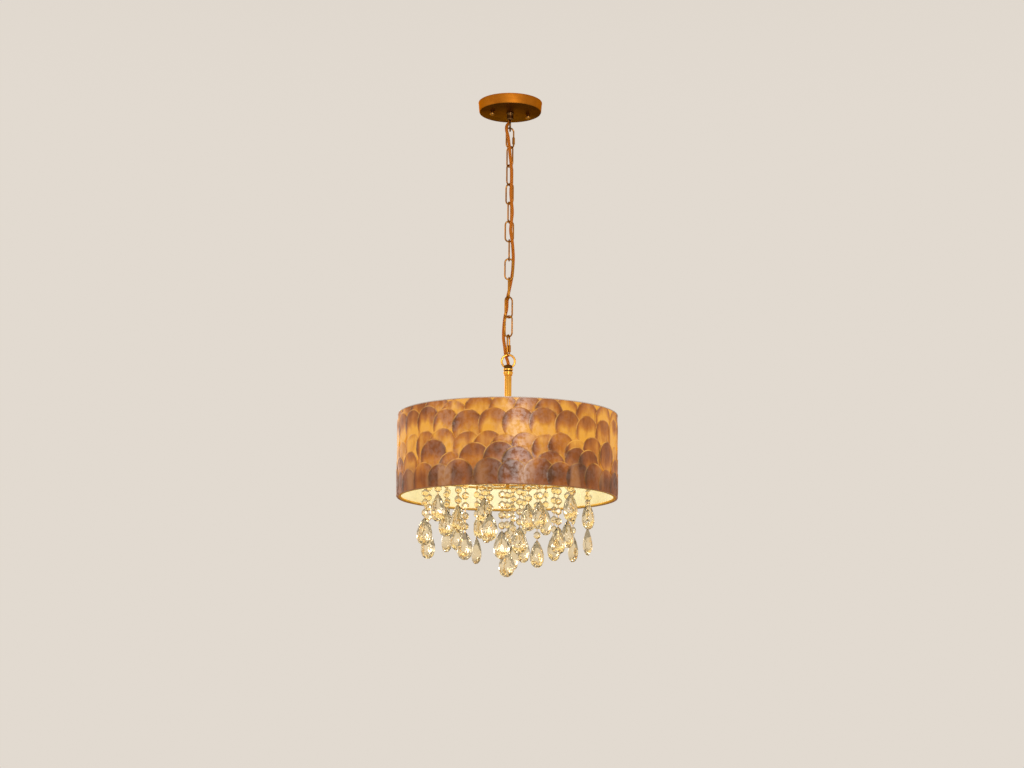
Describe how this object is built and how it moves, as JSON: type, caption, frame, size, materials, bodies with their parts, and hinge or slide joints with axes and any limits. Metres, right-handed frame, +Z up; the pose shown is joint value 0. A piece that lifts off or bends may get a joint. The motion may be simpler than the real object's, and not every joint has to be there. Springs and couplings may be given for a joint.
{
  "type": "drum chandelier",
  "caption": "Hanging drum chandelier: a capiz shell drum shade on a stem and chain, with strands of cut crystal below it and lamps inside.",
  "frame": {"origin": "on the ceiling, at the middle of the canopy and of the ceiling bracket", "axes": "+Z up into the ceiling, -Y towards the pictured side, +X to the right in the picture"},
  "size_m": [0.4, 0.4, 0.8932],
  "materials": {
    "steel": "zinc plated",
    "canopy_brass": "brushed, orange gold",
    "dark_brass": "antique",
    "chain_brass": "polished",
    "stem_brass": "polished",
    "frame_brass": "satin",
    "cord_cover": "woven gold",
    "capiz": "overlapped capiz shell discs, pearly",
    "lining": "matt, lets light through",
    "socket_plastic": "ivory",
    "bulb_cover": "frosted",
    "crystal": "clear, cut and polished"
  },
  "bodies": {
    "ceiling_side": {"ceiling_bracket": "steel", "canopy": "canopy_brass", "canopy_screw_left": "canopy_brass", "canopy_screw_right": "canopy_brass", "canopy_nipple": "steel", "canopy_loop": "dark_brass", "supply_cord": "cord_cover"},
    "link_01": {"chain_link_01": "chain_brass"},
    "link_02": {"chain_link_02": "chain_brass"},
    "link_03": {"chain_link_03": "chain_brass"},
    "link_04": {"chain_link_04": "chain_brass"},
    "link_05": {"chain_link_05": "chain_brass"},
    "link_06": {"chain_link_06": "chain_brass"},
    "link_07": {"chain_link_07": "chain_brass"},
    "link_08": {"chain_link_08": "chain_brass"},
    "link_09": {"chain_link_09": "chain_brass"},
    "link_10": {"chain_link_10": "chain_brass"},
    "link_11": {"chain_link_11": "chain_brass"},
    "link_12": {"chain_link_12": "chain_brass"},
    "sleeve_upper": {"quick_link_sleeve_upper": "chain_brass"},
    "sleeve_lower": {"quick_link_sleeve_lower": "chain_brass"},
    "fixture": {"stem_loop": "stem_brass", "stem": "stem_brass", "shade_spider": "frame_brass", "spider_nut": "frame_brass", "shade_shell": "capiz", "shade_liner": "lining", "shade_bottom_ring": "frame_brass", "lamp_cluster": "frame_brass", "lamp_socket_1": "socket_plastic", "lamp_socket_2": "socket_plastic", "lamp_socket_3": "socket_plastic", "bulb_1": "bulb_cover", "bulb_2": "bulb_cover", "bulb_3": "bulb_cover", "crystal_frame": "frame_brass", "frame_finial": "frame_brass"},
    "outer_01": {"outer_strand_01": "crystal"},
    "outer_02": {"outer_strand_02": "crystal"},
    "outer_03": {"outer_strand_03": "crystal"},
    "outer_04": {"outer_strand_04": "crystal"},
    "outer_05": {"outer_strand_05": "crystal"},
    "outer_06": {"outer_strand_06": "crystal"},
    "outer_07": {"outer_strand_07": "crystal"},
    "outer_08": {"outer_strand_08": "crystal"},
    "outer_09": {"outer_strand_09": "crystal"},
    "outer_10": {"outer_strand_10": "crystal"},
    "outer_11": {"outer_strand_11": "crystal"},
    "outer_12": {"outer_strand_12": "crystal"},
    "outer_13": {"outer_strand_13": "crystal"},
    "outer_14": {"outer_strand_14": "crystal"},
    "middle_1": {"middle_strand_pair_1": "crystal"},
    "middle_2": {"middle_strand_pair_2": "crystal"},
    "middle_3": {"middle_strand_pair_3": "crystal"},
    "middle_4": {"middle_strand_pair_4": "crystal"},
    "middle_5": {"middle_strand_pair_5": "crystal"},
    "inner_1": {"inner_strand_pair_1": "crystal"},
    "inner_2": {"inner_strand_pair_2": "crystal"},
    "inner_3": {"inner_strand_single": "crystal"},
    "centre": {"centre_strand": "crystal"}
  },
  "joints": [
    {"name": "link_01_swing", "type": "hinge", "parent": "ceiling_side", "child": "link_01", "pos_m": [0, 0, -0.05375], "axis": [0, 1, 0], "range_deg": [-25, 25], "deforming": ["supply_cord"]},
    {"name": "link_02_swing", "type": "hinge", "parent": "link_01", "child": "link_02", "pos_m": [0, 0, -0.0897], "axis": [-0.9063, -0.4226, 0], "range_deg": [-25, 25], "deforming": ["supply_cord"]},
    {"name": "link_03_swing", "type": "hinge", "parent": "link_02", "child": "link_03", "pos_m": [0, 0, -0.1259], "axis": [0.7071, -0.7071, 0], "range_deg": [-25, 25], "deforming": ["supply_cord"]},
    {"name": "link_04_swing", "type": "hinge", "parent": "link_03", "child": "link_04", "pos_m": [0, 0, -0.1621], "axis": [0.7071, 0.7071, 0], "range_deg": [-25, 25], "deforming": ["supply_cord"]},
    {"name": "link_05_swing", "type": "hinge", "parent": "link_04", "child": "link_05", "pos_m": [0, 0, -0.1983], "axis": [-0.866, 0.5, 0], "range_deg": [-25, 25], "deforming": ["supply_cord"]},
    {"name": "link_06_swing", "type": "hinge", "parent": "link_05", "child": "link_06", "pos_m": [0, 0, -0.2345], "axis": [-0.342, -0.9397, 0], "range_deg": [-25, 25], "deforming": ["supply_cord"]},
    {"name": "link_07_swing", "type": "hinge", "parent": "link_06", "child": "link_07", "pos_m": [0, 0, -0.2707], "axis": [1, 0, 0], "range_deg": [-25, 25], "deforming": ["supply_cord"]},
    {"name": "link_08_swing", "type": "hinge", "parent": "link_07", "child": "link_08", "pos_m": [0, 0, -0.3069], "axis": [0, -1, 0], "range_deg": [-25, 25], "deforming": ["supply_cord"]},
    {"name": "link_09_swing", "type": "hinge", "parent": "link_08", "child": "link_09", "pos_m": [0, 0, -0.3431], "axis": [-0.9962, -0.0872, 0], "range_deg": [-25, 25], "deforming": ["supply_cord"]},
    {"name": "link_10_swing", "type": "hinge", "parent": "link_09", "child": "link_10", "pos_m": [0, 0, -0.3793], "axis": [-0.0872, 0.9962, 0], "range_deg": [-25, 25], "deforming": ["supply_cord"]},
    {"name": "link_11_swing", "type": "hinge", "parent": "link_10", "child": "link_11", "pos_m": [0, 0, -0.4155], "axis": [0.866, 0.5, 0], "range_deg": [-25, 25], "deforming": ["supply_cord"]},
    {"name": "link_12_swing", "type": "hinge", "parent": "link_11", "child": "link_12", "pos_m": [0, 0, -0.4517], "axis": [0.866, -0.5, 0], "range_deg": [-25, 25], "deforming": ["supply_cord"]},
    {"name": "fixture_swing", "type": "hinge", "parent": "link_12", "child": "fixture", "pos_m": [0, 0, -0.4879], "axis": [-0.2588, -0.9659, 0], "range_deg": [-25, 25], "deforming": ["supply_cord"]},
    {"name": "sleeve_upper_slide", "type": "slide", "parent": "link_01", "child": "sleeve_upper", "axis": [0, 0, 1], "range_m": [0, 0.007]},
    {"name": "sleeve_lower_slide", "type": "slide", "parent": "link_12", "child": "sleeve_lower", "axis": [0, 0, 1], "range_m": [0, 0.007]},
    {"name": "outer_01_swing", "type": "hinge", "parent": "fixture", "child": "outer_01", "pos_m": [0.0574, -0.13858, -0.712], "axis": [0.9239, 0.3827, 0], "range_deg": [-8, 8]},
    {"name": "outer_02_swing", "type": "hinge", "parent": "fixture", "child": "outer_02", "pos_m": [0.11185, -0.09995, -0.712], "axis": [0.6663, 0.7456, 0], "range_deg": [-8, 8]},
    {"name": "outer_03_swing", "type": "hinge", "parent": "fixture", "child": "outer_03", "pos_m": [0.14414, -0.04152, -0.712], "axis": [0.2768, 0.9609, 0], "range_deg": [-8, 8]},
    {"name": "outer_04_swing", "type": "hinge", "parent": "fixture", "child": "outer_04", "pos_m": [0.14788, 0.02513, -0.712], "axis": [-0.1675, 0.9859, 0], "range_deg": [-8, 8]},
    {"name": "outer_05_swing", "type": "hinge", "parent": "fixture", "child": "outer_05", "pos_m": [0.12233, 0.0868, -0.712], "axis": [-0.5787, 0.8156, 0], "range_deg": [-8, 8]},
    {"name": "outer_06_swing", "type": "hinge", "parent": "fixture", "child": "outer_06", "pos_m": [0.07256, 0.13128, -0.712], "axis": [-0.8752, 0.4837, 0], "range_deg": [-8, 8]},
    {"name": "outer_07_swing", "type": "hinge", "parent": "fixture", "child": "outer_07", "pos_m": [0.00841, 0.14976, -0.712], "axis": [-0.9984, 0.0561, 0], "range_deg": [-8, 8]},
    {"name": "outer_08_swing", "type": "hinge", "parent": "fixture", "child": "outer_08", "pos_m": [-0.0574, 0.13858, -0.712], "axis": [-0.9239, -0.3827, 0], "range_deg": [-8, 8]},
    {"name": "outer_09_swing", "type": "hinge", "parent": "fixture", "child": "outer_09", "pos_m": [-0.11185, 0.09995, -0.712], "axis": [-0.6663, -0.7456, 0], "range_deg": [-8, 8]},
    {"name": "outer_10_swing", "type": "hinge", "parent": "fixture", "child": "outer_10", "pos_m": [-0.14414, 0.04152, -0.712], "axis": [-0.2768, -0.9609, 0], "range_deg": [-8, 8]},
    {"name": "outer_11_swing", "type": "hinge", "parent": "fixture", "child": "outer_11", "pos_m": [-0.14788, -0.02513, -0.712], "axis": [0.1675, -0.9859, 0], "range_deg": [-8, 8]},
    {"name": "outer_12_swing", "type": "hinge", "parent": "fixture", "child": "outer_12", "pos_m": [-0.12233, -0.0868, -0.712], "axis": [0.5787, -0.8156, 0], "range_deg": [-8, 8]},
    {"name": "outer_13_swing", "type": "hinge", "parent": "fixture", "child": "outer_13", "pos_m": [-0.07256, -0.13128, -0.712], "axis": [0.8752, -0.4837, 0], "range_deg": [-8, 8]},
    {"name": "outer_14_swing", "type": "hinge", "parent": "fixture", "child": "outer_14", "pos_m": [-0.00841, -0.14976, -0.712], "axis": [0.9984, -0.0561, 0], "range_deg": [-8, 8]},
    {"name": "middle_1_swing", "type": "hinge", "parent": "fixture", "child": "middle_1", "pos_m": [0.06441, -0.08244, -0.712], "axis": [0.788, 0.6157, 0], "range_deg": [-5, 5]},
    {"name": "middle_2_swing", "type": "hinge", "parent": "fixture", "child": "middle_2", "pos_m": [0.09831, 0.03578, -0.712], "axis": [-0.342, 0.9397, 0], "range_deg": [-5, 5]},
    {"name": "middle_3_swing", "type": "hinge", "parent": "fixture", "child": "middle_3", "pos_m": [-0.00365, 0.10455, -0.712], "axis": [-0.9994, -0.0349, 0], "range_deg": [-5, 5]},
    {"name": "middle_4_swing", "type": "hinge", "parent": "fixture", "child": "middle_4", "pos_m": [-0.10056, 0.02884, -0.712], "axis": [-0.2756, -0.9613, 0], "range_deg": [-5, 5]},
    {"name": "middle_5_swing", "type": "hinge", "parent": "fixture", "child": "middle_5", "pos_m": [-0.0585, -0.08673, -0.712], "axis": [0.829, -0.5592, 0], "range_deg": [-5, 5]},
    {"name": "inner_1_swing", "type": "hinge", "parent": "fixture", "child": "inner_1", "pos_m": [0.03853, -0.02225, -0.712], "axis": [0.5, 0.866, 0], "range_deg": [-4, 4]},
    {"name": "inner_2_swing", "type": "hinge", "parent": "fixture", "child": "inner_2", "pos_m": [-0.0181, 0.04065, -0.712], "axis": [-0.9135, -0.4067, 0], "range_deg": [-4, 4]},
    {"name": "inner_3_swing", "type": "hinge", "parent": "fixture", "child": "inner_3", "pos_m": [-0.04087, -0.0368, -0.712], "axis": [0.6691, -0.7431, 0], "range_deg": [-4, 4]},
    {"name": "centre_swing", "type": "hinge", "parent": "fixture", "child": "centre", "pos_m": [0, 0, -0.7302], "axis": [1, 0, 0], "range_deg": [-4, 4]}
  ]
}
